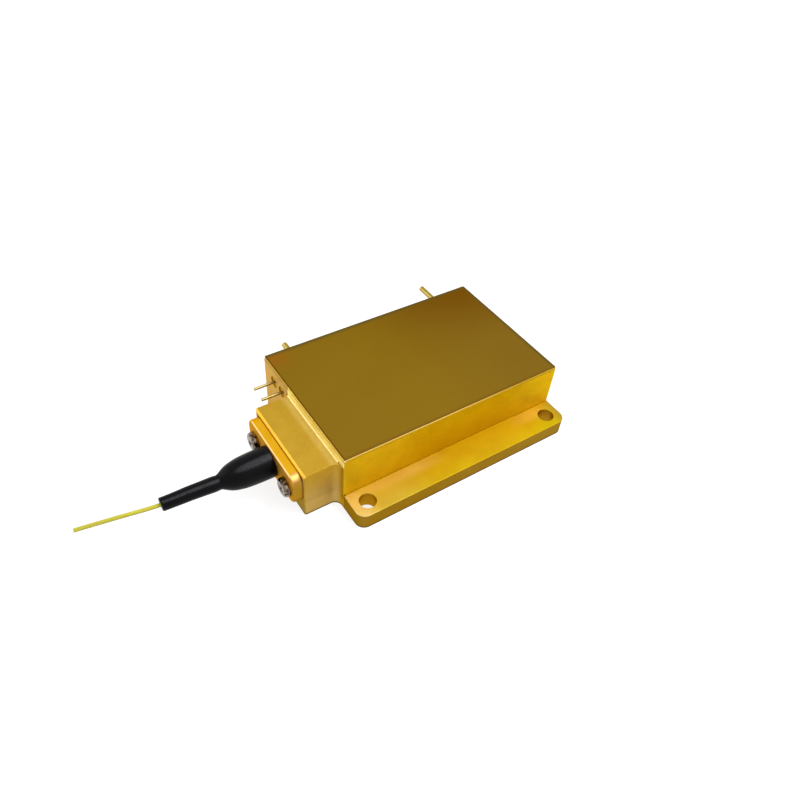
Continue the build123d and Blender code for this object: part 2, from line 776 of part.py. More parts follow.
# Focusing lens in its cell, and the filter that keeps stray light from the chips
lens_cell_radius = lens_bore_radius - lens_cell_clearance
with BuildPart() as lens_cell:
    with BuildSketch(Plane.YZ.offset(cavity_front)):
        with Locations((fibre_y, fibre_height)):
            Circle(lens_cell_radius)
            Circle(lens_cell_radius - lens_cell_wall, mode=Mode.SUBTRACT)
    extrude(amount=-lens_cell_length)
    with BuildSketch(Plane.YZ.offset(cavity_front)):
        with Locations((fibre_y, fibre_height)):
            Circle(focusing_lens_radius)
    extrude(amount=-focusing_lens_edge, mode=Mode.SUBTRACT)
lens_cell.part.label = "lens_cell"
export_step(lens_cell.part, "parts/lens_cell.step")

with BuildPart() as focusing_lens:
    with BuildSketch(Plane.XY.offset(fibre_height)):
        with BuildLine():
            Polyline(
                (cavity_front + focusing_lens_sag, fibre_y),
                (cavity_front - focusing_lens_edge, fibre_y),
                (cavity_front - focusing_lens_edge, fibre_y + focusing_lens_radius),
                (cavity_front, fibre_y + focusing_lens_radius),
            )
            TangentArc(
                (cavity_front + focusing_lens_sag, fibre_y),
                (cavity_front, fibre_y + focusing_lens_radius),
                tangent=(0, 1),
            )
        make_face()
    revolve(axis=fibre_axis)
focusing_lens.part.label = "focusing_lens"
export_step(focusing_lens.part, "parts/focusing_lens.step")

with BuildPart() as feedback_filter:
    with BuildSketch(Plane.YZ.offset(cavity_front + filter_from_wall)):
        with Locations((fibre_y, floor_thickness)):
            Rectangle(filter_width, filter_height, align=(Align.CENTER, Align.MIN))
    extrude(amount=filter_thickness)
feedback_filter.part.label = "feedback_filter"
export_step(feedback_filter.part, "parts/feedback_filter.step")

# Thermistor on its pad, between the leads that come down from the signal pins
pad_front = cavity_front + thermistor_from_wall
pad_width = signal_pin_spacing + 2 * thermistor_pad_margin
pad_y = sum(signal_pin_ys) / len(signal_pin_ys)
pad_top = floor_thickness + thermistor_pad_thickness
with BuildPart() as thermistor_pad:
    with BuildSketch(Plane.XY.offset(floor_thickness)):
        with Locations((pad_front, pad_y)):
            Rectangle(thermistor_pad_length, pad_width, align=(Align.MIN, Align.CENTER))
    extrude(amount=thermistor_pad_thickness)
thermistor_pad.part.label = "thermistor_pad"
export_step(thermistor_pad.part, "parts/thermistor_pad.step")

with BuildPart() as thermistor:
    with BuildSketch(Plane.XY.offset(pad_top)):
        with Locations((pad_front + thermistor_pad_length - thermistor_from_edge, pad_y)):
            Rectangle(thermistor_length, thermistor_width, align=(Align.MAX, Align.CENTER))
    extrude(amount=thermistor_height)
thermistor.part.label = "thermistor"
export_step(thermistor.part, "parts/thermistor.step")

lead_drop = cavity_front + signal_pin_inner_length + lead_past_pin
under_signal_pin = pin_height - signal_pin_neck_diameter / 2 - lead_thickness
lead_points = [
    (cavity_front + lead_start, under_signal_pin),
    (lead_drop, under_signal_pin),
    (lead_drop, pad_top),
    (lead_drop + lead_foot, pad_top),
]
leads = [
    bent_strip(lead_points, lead_thickness, lead_thickness, pin_y + lead_width / 2, lead_width)
    for pin_y in signal_pin_ys
]
with BuildPart() as thermistor_leads:
    for lead in leads:
        add(lead.part)
thermistor_leads.part.label = "thermistor_leads"
export_step(thermistor_leads.part, "parts/thermistor_leads.step")
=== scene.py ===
import logging
import math
from collections.abc import Callable, Iterable
from dataclasses import dataclass
from enum import Enum

import bpy
from mathutils import Matrix, Vector


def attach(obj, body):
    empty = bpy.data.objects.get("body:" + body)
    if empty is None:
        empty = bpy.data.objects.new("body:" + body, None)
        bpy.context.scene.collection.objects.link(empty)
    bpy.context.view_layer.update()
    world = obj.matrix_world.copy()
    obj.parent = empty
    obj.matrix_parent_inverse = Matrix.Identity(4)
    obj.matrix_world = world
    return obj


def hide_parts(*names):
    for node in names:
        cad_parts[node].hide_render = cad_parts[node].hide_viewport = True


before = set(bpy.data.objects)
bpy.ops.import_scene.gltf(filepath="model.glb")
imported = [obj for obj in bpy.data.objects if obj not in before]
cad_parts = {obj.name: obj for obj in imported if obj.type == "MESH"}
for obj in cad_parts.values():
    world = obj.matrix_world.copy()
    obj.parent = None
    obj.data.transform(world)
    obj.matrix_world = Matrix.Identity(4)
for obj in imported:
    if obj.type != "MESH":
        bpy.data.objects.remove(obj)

log = logging.getLogger("laser_diode_module")

MM = 0.001
MERGE_DISTANCE = 0.0005 * MM
WHITE = "ffffff"

# Places on the solids, in millimetres
BODY_FRONT = -32.7
NEAR_SIDE = -20.75
FLANGE_TOP = 4.5
NEAR_HOLE_XS = (-28.45, 28.45)
NEAR_HOLE_Y = -24.85
LID_TOP = 17.1
NOSE_FRONT = -41.7
NOSE_FAR = 7.1
PLATE_FRONT = -44.1
GLAND_Y = -5.5
GLAND_Z = 8.75

Colour = tuple[float, float, float, float]
Point = tuple[float, float, float]
Station = tuple[float, float, float, float]


class Grain(Enum):
    """Which way the fine marks of a metal surface run."""

    EVEN = (1.0, 1.0, 1.0)
    TURNED_ABOUT_X = (1.0, 0.15, 0.15)


class Along(Enum):
    """An axis of the module."""

    LENGTH = "X"
    WIDTH = "Y"
    HEIGHT = "Z"


Limit = tuple[Along, float, float]


def around(axis: Along, middle: float, reach: float, edge: float) -> tuple[Limit, Limit]:
    """Return the two limits that hold within reach of a place and fade over an edge."""
    return (axis, middle - reach - edge, middle - reach), (axis, middle + reach + edge, middle + reach)


def linear(hex_colour: str) -> Colour:
    """Turn a colour as a designer writes it into the values that a shader takes.

    Args:
        hex_colour: Six hexadecimal digits, such as "d9a92b".

    Returns:
        Red, green, blue and alpha, linear.
    """
    parts = [int(hex_colour[start:start + 2], 16) / 255 for start in (0, 2, 4)]
    red, green, blue = (
        part / 12.92 if part <= 0.04045 else ((part + 0.055) / 1.055) ** 2.4 for part in parts
    )
    return red, green, blue, 1.0


class Tone:
    """A value in a material, which takes part in sums as a number does."""

    def __init__(self, recipe: "Recipe", socket: bpy.types.NodeSocket) -> None:
        """Wrap an output socket of one of the recipe's nodes."""
        self.recipe = recipe
        self.socket = socket

    def _sum(self, operation: str, first: "Tone | float", second: "Tone | float") -> "Tone":
        """Add the Math node that works out the operation on the two values."""
        return self.recipe.node("ShaderNodeMath", {"operation": operation}, {0: first, 1: second})

    def __add__(self, other: "Tone | float") -> "Tone":
        """Return self + other."""
        return self._sum("ADD", self, other)

    def __radd__(self, other: float) -> "Tone":
        """Return other + self."""
        return self._sum("ADD", other, self)

    def __mul__(self, other: "Tone | float") -> "Tone":
        """Return self * other."""
        return self._sum("MULTIPLY", self, other)

    def __rmul__(self, other: float) -> "Tone":
        """Return other * self."""
        return self._sum("MULTIPLY", other, self)


class Recipe:
    """The node tree of one material or sky, built from its own methods."""

    def __init__(self, name: str, sky: bool = False) -> None:
        """Start an empty material or sky.

        Args:
            name: Its name.
            sky: Whether it is a sky.
        """
        self.owner = (bpy.data.worlds if sky else bpy.data.materials).new(name)
        self.owner.use_nodes = True
        self.end = "ShaderNodeOutputWorld" if sky else "ShaderNodeOutputMaterial"
        self.tree = self.owner.node_tree
        self.tree.nodes.clear()

    def node(
        self,
        kind: str,
        settings: dict[str, object] | None = None,
        values: dict[str | int, object] | None = None,
        output: str | int = 0,
    ) -> Tone:
        """Add a node.

        Args:
            kind: The node's type.
            settings: What is set on the node itself, before its sockets.
            values: Numbers, colours or tones for its input sockets.
            output: The output that is wanted.

        Returns:
            The output, ready for sums.
        """
        made = self.tree.nodes.new(kind)
        for key, value in (settings or {}).items():
            setattr(made, key, value)
        for key, value in (values or {}).items():
            if isinstance(value, Tone):
                self.tree.links.new(value.socket, made.inputs[key])
            else:
                made.inputs[key].default_value = value
        return Tone(self, made.outputs[output])

    def place(self, stretch: Point = (1.0, 1.0, 1.0)) -> Tone:
        """Return the object's own coordinates, in metres, stretched by these factors."""
        coordinates = self.node("ShaderNodeTexCoord", output="Object")
        return self.node("ShaderNodeMapping", values={"Vector": coordinates, "Scale": stretch})

    def distance(self, axis: Along) -> Tone:
        """Return how far along this axis a point of the object lies, in metres."""
        return self.node("ShaderNodeSeparateXYZ", values={0: self.place()}, output=axis.value)

    def facing(self, direction: Point) -> Tone:
        """Return the cosine of the angle between the surface's normal and this direction."""
        normal = self.node("ShaderNodeTexCoord", output="Normal")
        return self.node(
            "ShaderNodeVectorMath", {"operation": "DOT_PRODUCT"}, {0: normal, 1: direction}, "Value"
        )

    def clouds(self, size: float, place: Tone, detail: float = 2.0) -> Tone:
        """Return noise from 0 to 1 whose patches are about this many metres across."""
        return self.node(
            "ShaderNodeTexNoise", values={"Vector": place, "Scale": 1 / size, "Detail": detail}
        )

    def steps(self, value: Tone, low: float, high: float) -> Tone:
        """Return 0 where the value is below low, 1 above high, and a smooth slope between."""
        return self.node(
            "ShaderNodeMapRange",
            {"interpolation_type": "SMOOTHSTEP"},
            {"Value": value, "From Min": low, "From Max": high},
        )

    def mixed(
        self, share: Tone, first: Tone | Colour, second: Tone | Colour, blend: str = "MIX"
    ) -> Tone:
        """Mix two colours.

        Args:
            share: How much of the second colour is taken, from 0 to 1.
            first: The colour where the share is 0.
            second: The colour where the share is 1, or that by which the first one is blended.
            blend: The way in which they are blended.

        Returns:
            The mixed colour.
        """
        made = self.tree.nodes.new("ShaderNodeMix")
        made.data_type = "RGBA"
        made.blend_type = blend
        for key, value in (("Factor_Float", share), ("A_Color", first), ("B_Color", second)):
            socket = next(one for one in made.inputs if one.identifier == key)
            if isinstance(value, Tone):
                self.tree.links.new(value.socket, socket)
            else:
                socket.default_value = value
        return Tone(self, next(one for one in made.outputs if one.identifier == "Result_Color"))

    def bumped(self, height: Tone, depth: float) -> Tone:
        """Return the normal of a surface whose height varies by depth, in metres."""
        return self.node("ShaderNodeBump", values={"Height": height, "Distance": depth})

    def surface(self, values: dict[str | int, object]) -> bpy.types.Material:
        """Finish the material with one shader that has these values, and return it."""
        return self.finished(self.node("ShaderNodeBsdfPrincipled", values=values, output="BSDF"))

    def finished(self, shader: Tone) -> bpy.types.Material | bpy.types.World:
        """Give the material or sky its shader.

        Args:
            shader: The output of the shader that it ends in.

        Returns:
            The finished material or sky.
        """
        end = self.tree.nodes.new(self.end)
        self.tree.links.new(shader.socket, end.inputs["Surface"])
        return self.owner


@dataclass(frozen=True)
class PaintedLightZone:
    """A part of a surface where a finish takes another tone, painted light or shade that stands in for
    highlights, reflections and shadows there.

    Each limit names an axis, the place where the tone sets in and the place from which it is
    full, in millimetres. The zone is where all its limits hold, and haze is how much rougher the
    surface is there.
    """

    tone: str
    limits: tuple[Limit, ...]
    haze: float = 0.0

    def share(self, recipe: Recipe) -> Tone:
        """Return how much of the zone's tone a place takes, from 0 to 1."""
        shares = [
            recipe.steps(recipe.distance(axis), start * MM, full * MM)
            for axis, start, full in self.limits
        ]
        return math.prod(shares[1:], start=shares[0])


@dataclass(frozen=True)
class GoldPlating:
    """Gold plating over machined metal, shaded in clouds, finely grained, and with zones of painted
    light and shade.
    """

    name: str
    tone: str
    shade: str = "ece4d4"
    rim: str = "f0cc80"
    roughness: float = 0.34
    mean_haze: float = 0.1
    grain_haze: float = 0.08
    speck_haze: float = 0.12
    speck_share: float = 0.25
    speck_grains: float = 5.0
    shade_low: float = 0.32
    shade_high: float = 0.68
    cloud_size: float = 9 * MM
    grain_size: float = 0.22 * MM
    grain_depth: float = 0.006 * MM
    painted_light_zones: tuple[PaintedLightZone, ...] = ()

    def material(self) -> bpy.types.Material:
        """Make the material of this plating.

        Returns:
            The material.
        """
        recipe = Recipe(self.name)
        clouds = recipe.clouds(self.cloud_size, recipe.place(), detail=3.0)
        grain = recipe.clouds(self.grain_size, recipe.place(), detail=2.0)
        specks = recipe.clouds(self.grain_size * self.speck_grains, recipe.place(), detail=4.0)
        patches = clouds * (1 - self.speck_share) + specks * self.speck_share
        share = recipe.steps(patches, self.shade_low, self.shade_high)
        tone = linear(self.tone)
        haze = specks * self.speck_haze + grain * self.grain_haze
        roughness = haze + (self.roughness - self.mean_haze)
        # Painted light and shade: each zone lays its tone over the plating's own, in its part of the
        # surface.
        for zone in self.painted_light_zones:
            held = zone.share(recipe)
            tone = recipe.mixed(held, tone, linear(zone.tone))
            roughness = roughness + held * zone.haze
        return recipe.surface(
            {
                "Base Color": recipe.mixed(share, tone, linear(self.shade), blend="MULTIPLY"),
                "Metallic": 1.0,
                "Specular Tint": linear(self.rim),
                "Roughness": roughness,
                "Normal": recipe.bumped(grain, self.grain_depth),
            }
        )


@dataclass(frozen=True)
class BrightMetal:
    """Nickel-plated or polished steel with turning marks."""

    name: str
    tone: str
    dull: str
    roughness: float = 0.22
    mean_haze: float = 0.08
    mark_haze: float = 0.16
    mark_size: float = 0.12 * MM
    mark_depth: float = 0.004 * MM
    cloud_marks: float = 6.0
    cloud_edge: float = 0.2
    grain: Grain = Grain.EVEN

    def material(self) -> bpy.types.Material:
        """Make the material of this metal.

        Returns:
            The material.
        """
        recipe = Recipe(self.name)
        marks = recipe.clouds(self.mark_size, recipe.place(self.grain.value), detail=3.0)
        clouds = recipe.clouds(self.mark_size * self.cloud_marks, recipe.place(), detail=2.0)
        share = recipe.steps(clouds, 0.5 - self.cloud_edge, 0.5 + self.cloud_edge)
        return recipe.surface(
            {
                "Base Color": recipe.mixed(share, linear(self.dull), linear(self.tone)),
                "Metallic": 1.0,
                "Roughness": marks * self.mark_haze + (self.roughness - self.mean_haze),
                "Normal": recipe.bumped(marks, self.mark_depth),
            }
        )


@dataclass(frozen=True)
class ShrunkPlastic:
    """Black plastic sleeve, shrunk by heat: satin, with faint waves, and a mottled painted highlight
    along its upper near side.
    """

    name: str
    tone: str = "040406"
    bloom: str = "0a0a0c"
    painted_highlight_tone: str = "353538"
    painted_highlight_side: Point = (0.0, -0.42, 0.907)
    painted_highlight_from: float = 0.955
    roughness: float = 0.29
    pore_haze: float = 0.12
    bloom_haze: float = 0.08
    bloom_low: float = 0.45
    bloom_high: float = 0.75
    bloom_share: float = 0.5
    highlight_mottle_low: float = 0.25
    highlight_mottle_high: float = 0.65
    gloss: float = 0.08
    wave_size: float = 1.6 * MM
    wave_stretch: Point = (0.5, 1.0, 1.0)
    wave_depth: float = 0.05 * MM
    pore_size: float = 0.18 * MM
    pore_share: float = 0.15

    def material(self) -> bpy.types.Material:
        """Make the material of the sleeve.

        Returns:
            The material.
        """
        recipe = Recipe(self.name)
        waves = recipe.clouds(self.wave_size, recipe.place(self.wave_stretch), detail=2.0)
        pores = recipe.clouds(self.pore_size, recipe.place(), detail=3.0)
        bloom = recipe.steps(waves, self.bloom_low, self.bloom_high)
        # Painted highlight: a lighter, mottled band where the surface faces the upper near side.
        facing = recipe.steps(recipe.facing(self.painted_highlight_side), self.painted_highlight_from, 1.0)
        painted_highlight = facing * recipe.steps(pores, self.highlight_mottle_low, self.highlight_mottle_high)
        black = recipe.mixed(bloom * self.bloom_share, linear(self.tone), linear(self.bloom))
        return recipe.surface(
            {
                "Base Color": recipe.mixed(painted_highlight, black, linear(self.painted_highlight_tone)),
                "Roughness": self.roughness + pores * self.pore_haze + bloom * self.bloom_haze,
                "Specular IOR Level": self.gloss,
                "Normal": recipe.bumped(waves + pores * self.pore_share, self.wave_depth),
            }
        )


@dataclass(frozen=True)
class FibreJacket:
    """Yellow plastic tube, a little translucent, with draw marks along it and painted shade along its
    far upper side.
    """

    name: str
    tone: str = "c6be28"
    deep: str = "938d1b"
    painted_shade_tone: str = "6e6a1c"
    painted_shade_side: Point = (-0.25, 0.82, 0.52)
    painted_shade_from: float = 0.72
    roughness: float = 0.3
    mark_haze: float = 0.15
    mark_size: float = 0.35 * MM
    mark_stretch: Point = (0.08, 1.0, 1.0)
    mark_depth: float = 0.01 * MM
    milkiness: float = 0.15
    scatter: float = 0.6 * MM

    def material(self) -> bpy.types.Material:
        """Make the material of the tube.

        Returns:
            The material.
        """
        recipe = Recipe(self.name)
        marks = recipe.clouds(self.mark_size, recipe.place(self.mark_stretch), detail=2.0)
        yellow = recipe.mixed(marks, linear(self.deep), linear(self.tone))
        # Painted shade: darker where the tube faces up and away, along its far upper side.
        painted_shade = recipe.steps(recipe.facing(self.painted_shade_side), self.painted_shade_from, 1.0)
        return recipe.surface(
            {
                "Base Color": recipe.mixed(painted_shade, yellow, linear(self.painted_shade_tone)),
                "Roughness": self.roughness + marks * self.mark_haze,
                "Subsurface Weight": self.milkiness,
                "Subsurface Scale": self.scatter,
                "Normal": recipe.bumped(marks, self.mark_depth),
            }
        )


@dataclass(frozen=True)
class OpticalGlass:
    """Clear glass with a faint coating tint."""

    name: str
    tint: str = "eef6f4"
    roughness: float = 0.02
    haze: float = 0.03
    haze_size: float = 0.7 * MM
    ior: float = 1.46

    def material(self) -> bpy.types.Material:
        """Make the material of the glass.

        Returns:
            The material.
        """
        recipe = Recipe(self.name)
        film = recipe.clouds(self.haze_size, recipe.place(), detail=2.0)
        return recipe.surface(
            {
                "Base Color": recipe.mixed(film, linear(self.tint), linear(WHITE)),
                "Roughness": film * self.haze + self.roughness,
                "Transmission Weight": 1.0,
                "IOR": self.ior,
            }
        )


@dataclass(frozen=True)
class SealGlass:
    """Opaque glass of a metal-to-glass seal, amber and satin, with tiny bubbles."""

    name: str
    tone: str = "c49c3c"
    deep: str = "94701e"
    roughness: float = 0.5
    bubble_haze: float = 0.1
    bubble_size: float = 0.25 * MM
    bubble_depth: float = 0.01 * MM
    gloss: float = 0.2

    def material(self) -> bpy.types.Material:
        """Make the material of the seal.

        Returns:
            The material.
        """
        recipe = Recipe(self.name)
        bubbles = recipe.clouds(self.bubble_size, recipe.place(), detail=3.0)
        return recipe.surface(
            {
                "Base Color": recipe.mixed(bubbles, linear(self.deep), linear(self.tone)),
                "Roughness": self.roughness + bubbles * self.bubble_haze,
                "Specular IOR Level": self.gloss,
                "Normal": recipe.bumped(bubbles, self.bubble_depth),
            }
        )


@dataclass(frozen=True)
class FiredCeramic:
    """Fired or sawn ceramic, with grains and a little variation."""

    name: str
    tone: str
    deep: str
    roughness: float = 0.6
    mean_haze: float = 0.08
    grain_haze: float = 0.15
    grain_size: float = 0.12 * MM
    grain_depth: float = 0.006 * MM
    grain_share: float = 0.5
    cloud_size: float = 1.5 * MM
    metallic: float = 0.0

    def material(self) -> bpy.types.Material:
        """Make the material of the ceramic.

        Returns:
            The material.
        """
        recipe = Recipe(self.name)
        grains = recipe.clouds(self.grain_size, recipe.place(), detail=3.0)
        clouds = recipe.clouds(self.cloud_size, recipe.place(), detail=2.0)
        share = grains * self.grain_share + clouds * (1 - self.grain_share)
        return recipe.surface(
            {
                "Base Color": recipe.mixed(share, linear(self.deep), linear(self.tone)),
                "Metallic": self.metallic,
                "Roughness": grains * self.grain_haze + (self.roughness - self.mean_haze),
                "Normal": recipe.bumped(grains, self.grain_depth),
            }
        )


@dataclass(frozen=True)
class GasketSheet:
    """Thin amber sheet between the nose and its plate, which looks brown in the gap."""

    name: str
    tone: str = "f4b838"
    deep: str = "d89c20"
    roughness: float = 0.6
    fibre_haze: float = 0.2
    fibre_size: float = 0.2 * MM
    fibre_depth: float = 0.01 * MM

    def material(self) -> bpy.types.Material:
        """Make the material of the sheet.

        Returns:
            The material.
        """
        recipe = Recipe(self.name)
        fibres = recipe.clouds(self.fibre_size, recipe.place(), detail=4.0)
        return recipe.surface(
            {
                "Base Color": recipe.mixed(fibres, linear(self.deep), linear(self.tone)),
                "Roughness": self.roughness + fibres * self.fibre_haze,
                "Normal": recipe.bumped(fibres, self.fibre_depth),
            }
        )


@dataclass(frozen=True)
class PaperFloor:
    """White studio paper that stays white to the camera and keeps a soft shadow."""

    name: str
    tone: str = "949494"
    fibre: str = "989898"
    fibre_size: float = 6 * MM
    lift: float = 0.77

    def material(self) -> bpy.types.Material:
        """Make the material of the paper.

        Returns:
            The material.
        """
        recipe = Recipe(self.name)
        fibres = recipe.clouds(self.fibre_size, recipe.place(), detail=3.0)
        grey = recipe.mixed(fibres, linear(self.tone), linear(self.fibre))
        paper = recipe.node("ShaderNodeBsdfDiffuse", values={"Color": grey})
        lift = recipe.node(
            "ShaderNodeEmission", values={"Color": linear(WHITE), "Strength": self.lift}
        )
        glow = recipe.node("ShaderNodeAddShader", values={0: paper, 1: lift})
        seen = seen_ray(recipe)
        both = recipe.node("ShaderNodeMixShader", values={0: seen, 1: paper, 2: glow})
        return recipe.finished(both)


def seen_ray(recipe: Recipe) -> Tone:
    """Tell the rays by which the camera sees something from those that only light it.

    Args:
        recipe: The node tree that asks.

    Returns:
        1 for a ray that is seen straight, in gloss or through glass, and 0 for any other.
    """
    straight = recipe.node("ShaderNodeLightPath", output="Is Camera Ray")
    glossy = Tone(recipe, straight.socket.node.outputs["Is Glossy Ray"])
    through = Tone(recipe, straight.socket.node.outputs["Is Transmission Ray"])
    return recipe.node(
        "ShaderNodeMath",
        {"operation": "ADD", "use_clamp": True},
        {0: straight + glossy, 1: through},
    )


# Limits that several zones of painted light and shade share
ON_NEAR_FLANGE = (Along.WIDTH, NEAR_SIDE - 0.15, NEAR_SIDE - 0.35)
ABOVE_FLANGE = (Along.HEIGHT, FLANGE_TOP - 0.1, FLANGE_TOP + 0.2)
ON_NEAR_WALL = ((Along.WIDTH, NEAR_SIDE - 0.25, NEAR_SIDE - 0.05), ABOVE_FLANGE)
BELOW_FLANGE_TOP = (Along.HEIGHT, FLANGE_TOP - 0.08, FLANGE_TOP - 0.18)
NEAR_FLANGE_EDGE = ((Along.WIDTH, NEAR_SIDE - 0.05, NEAR_SIDE - 0.2), BELOW_FLANGE_TOP)
FAR_FLANGE_EDGE = ((Along.WIDTH, 0.05 - NEAR_SIDE, 0.2 - NEAR_SIDE), BELOW_FLANGE_TOP)
AT_FRONT_WALL = (Along.LENGTH, BODY_FRONT + 0.1, BODY_FRONT + 0.04)
SHORT_OF_THIN_PINS = (Along.WIDTH, NOSE_FAR + 0.3, NOSE_FAR)
NOSE_END = (Along.LENGTH, NOSE_FRONT + 0.2, NOSE_FRONT + 0.05)
LID_NEAR_BEVEL = (
    (Along.HEIGHT, LID_TOP - 0.03, LID_TOP - 0.06),
    (Along.WIDTH, NEAR_SIDE + 0.45, NEAR_SIDE + 0.3),
)
LID_FRONT_EDGE = (Along.LENGTH, BODY_FRONT + 0.15, BODY_FRONT + 0.11)

BODY_GOLD = GoldPlating(
    "body_gold",
    "caad18",
    shade="f6f2ea",
    roughness=0.45,
    cloud_size=5 * MM,
    painted_light_zones=(
        # Top of the near flange: painted reflections, pale towards the front and in bands by the wall,
        # darker at the rear end
        PaintedLightZone("cdb440", (ON_NEAR_FLANGE, (Along.LENGTH, -8.0, -24.0))),
        PaintedLightZone("e4ca7c", (ON_NEAR_FLANGE, (Along.LENGTH, -26.0, -31.5))),
        PaintedLightZone(
            "d8bc5c",
            (
                ON_NEAR_FLANGE,
                (Along.WIDTH, -25.0, -22.4),
                (Along.LENGTH, -31.0, -27.0),
                (Along.LENGTH, -2.0, -14.0),
            ),
        ),
        PaintedLightZone("c0a512", (ON_NEAR_FLANGE, (Along.LENGTH, 14.0, 26.0))),
        PaintedLightZone("ac8c30", (ON_NEAR_FLANGE, (Along.LENGTH, 29.0, 33.0))),
        PaintedLightZone(
            "d4b444",
            (
                ON_NEAR_FLANGE,
                (Along.WIDTH, -25.6, -23.0),
                (Along.LENGTH, 16.0, 24.0),
                (Along.LENGTH, 31.0, 27.0),
            ),
        ),
        # Near wall, and the fillet at its foot: painted reflection, with a painted highlight towards
        # the rear end, darker in the middle, and painted shade in the fillet
        PaintedLightZone("c8a61a", ON_NEAR_WALL, haze=0.15),
        PaintedLightZone("d6b01e", (*ON_NEAR_WALL, (Along.LENGTH, 18.0, 31.0))),
        PaintedLightZone(
            "bb960a",
            (*ON_NEAR_WALL, (Along.LENGTH, 26.0, 10.0), (Along.LENGTH, -24.0, -8.0)),
        ),
        PaintedLightZone(
            "a5800b",
            ((Along.WIDTH, -21.02, -20.96), (Along.WIDTH, -20.6, -20.74), (Along.HEIGHT, 4.78, 4.7)),
        ),
        # Front wall, and the nose before it: painted reflection, a darker tone on all the front faces,
        # paler beside the far pins and on the nose top by the fillet
        PaintedLightZone("ba9732", ((Along.LENGTH, -32.6, -32.75),)),
        PaintedLightZone(
            "ccab6b",
            ((Along.LENGTH, -32.55, -32.62), (Along.LENGTH, -33.1, -32.9), (Along.WIDTH, 7.0, 7.3)),
        ),
        PaintedLightZone(
            "d0b664",
            ((Along.LENGTH, -35.5, -33.3), (Along.LENGTH, -33.0, -33.1), (Along.HEIGHT, 14.2, 14.28)),
        ),
        # Front face of the nose and its bevels: painted shade on the face around the plate, darkest at
        # the foot, a painted reflection on the near strip, and painted highlights on the strip above
        # the plate and on the top bevel
        PaintedLightZone("9d803d", ((Along.LENGTH, -41.2, -41.68), (Along.HEIGHT, 13.6, 13.3))),
        PaintedLightZone("968650", (NOSE_END, (Along.HEIGHT, 4.4, 4.2))),
        PaintedLightZone("c4a048", (NOSE_END, (Along.WIDTH, -17.3, -17.42), (Along.HEIGHT, 2.0, 8.0))),
        PaintedLightZone("ffe040", (NOSE_END, (Along.HEIGHT, 13.3, 13.42))),
        PaintedLightZone(
            "edc04b",
            ((Along.LENGTH, -41.1, -41.2), (Along.HEIGHT, 13.7, 13.8), (Along.HEIGHT, 14.3, 14.26)),
        ),
        # Fillet between the nose and the front wall, and the wall above it: painted highlights, as
        # pale lines
        PaintedLightZone(
            "ffe4a0",
            (
                (Along.LENGTH, -33.25, -33.15),
                AT_FRONT_WALL,
                (Along.HEIGHT, 14.3, 14.34),
                SHORT_OF_THIN_PINS,
            ),
        ),
        PaintedLightZone(
            "fffcac",
            (
                (Along.LENGTH, -32.9, -32.8),
                AT_FRONT_WALL,
                (Along.HEIGHT, 14.6, 14.7),
                SHORT_OF_THIN_PINS,
            ),
        ),
        # Edges of the flanges, near side of the nose, and the foot all round: painted shade, darker on
        # these outward faces, and a painted contact shadow along the foot
        PaintedLightZone("8f6f28", NEAR_FLANGE_EDGE),
        PaintedLightZone("947839", (*NEAR_FLANGE_EDGE, (Along.LENGTH, -25.0, 30.0))),
        PaintedLightZone("917028", FAR_FLANGE_EDGE),
        PaintedLightZone(
            "ba9c5c",
            ((Along.LENGTH, -32.7, -33.2), (Along.WIDTH, -17.95, -18.05), (Along.HEIGHT, 15.0, 3.0)),
        ),
        PaintedLightZone("5e5222", ((Along.HEIGHT, 0.7, 0.2),)),
        # Walls of the near flange's holes: painted shade in the holes
        *(
            PaintedLightZone(
                "bc8e24",
                (
                    *around(Along.WIDTH, NEAR_HOLE_Y, 2.25, 0.1),
                    *around(Along.LENGTH, hole_x, 2.21, 0.09),
                    BELOW_FLANGE_TOP,
                ),
            )
            for hole_x in NEAR_HOLE_XS
        ),
    ),
)
# The lid's darker tone is painted shade, standing in for the darker surroundings that its top mirrors.
LID_GOLD = GoldPlating(
    "lid_gold",
    "886a1c",
    shade="f8f6f2",
    roughness=0.4,
    cloud_size=30 * MM,
    painted_light_zones=(
        # Top, and its darker border: painted reflection, darker towards the rear and the far side,
        # with painted shade along the edges
        PaintedLightZone("806422", ((Along.LENGTH, -8.0, 32.0),)),
        PaintedLightZone("724c14", ((Along.LENGTH, -12.0, 32.0), (Along.WIDTH, -6.0, 22.0))),
        PaintedLightZone("7a5a1a", ((Along.WIDTH, -19.3, -20.6),)),
        PaintedLightZone("94621c", ((Along.LENGTH, -24.0, -31.0), (Along.WIDTH, 12.0, 19.0))),
        PaintedLightZone("64542a", ((Along.WIDTH, 18.8, 20.5),)),
        PaintedLightZone("64542a", ((Along.LENGTH, 30.9, 32.5),)),
        PaintedLightZone("6a4a0c", ((Along.LENGTH, -32.05, -32.25),)),
        # Bevel and edge on the near side: a painted highlight along the bevel, dimmer towards the rear
        PaintedLightZone("ecc898", LID_NEAR_BEVEL),
        PaintedLightZone("b08a44", (*LID_NEAR_BEVEL, (Along.LENGTH, 0.0, 22.0))),
        PaintedLightZone("b49a24", ((Along.WIDTH, -20.6, -20.64),)),
        # Front edge: painted highlight, brightest above the nose
        PaintedLightZone("c1ac6d", (LID_FRONT_EDGE,)),
        PaintedLightZone("f8e888", (LID_FRONT_EDGE, SHORT_OF_THIN_PINS)),
    ),
)
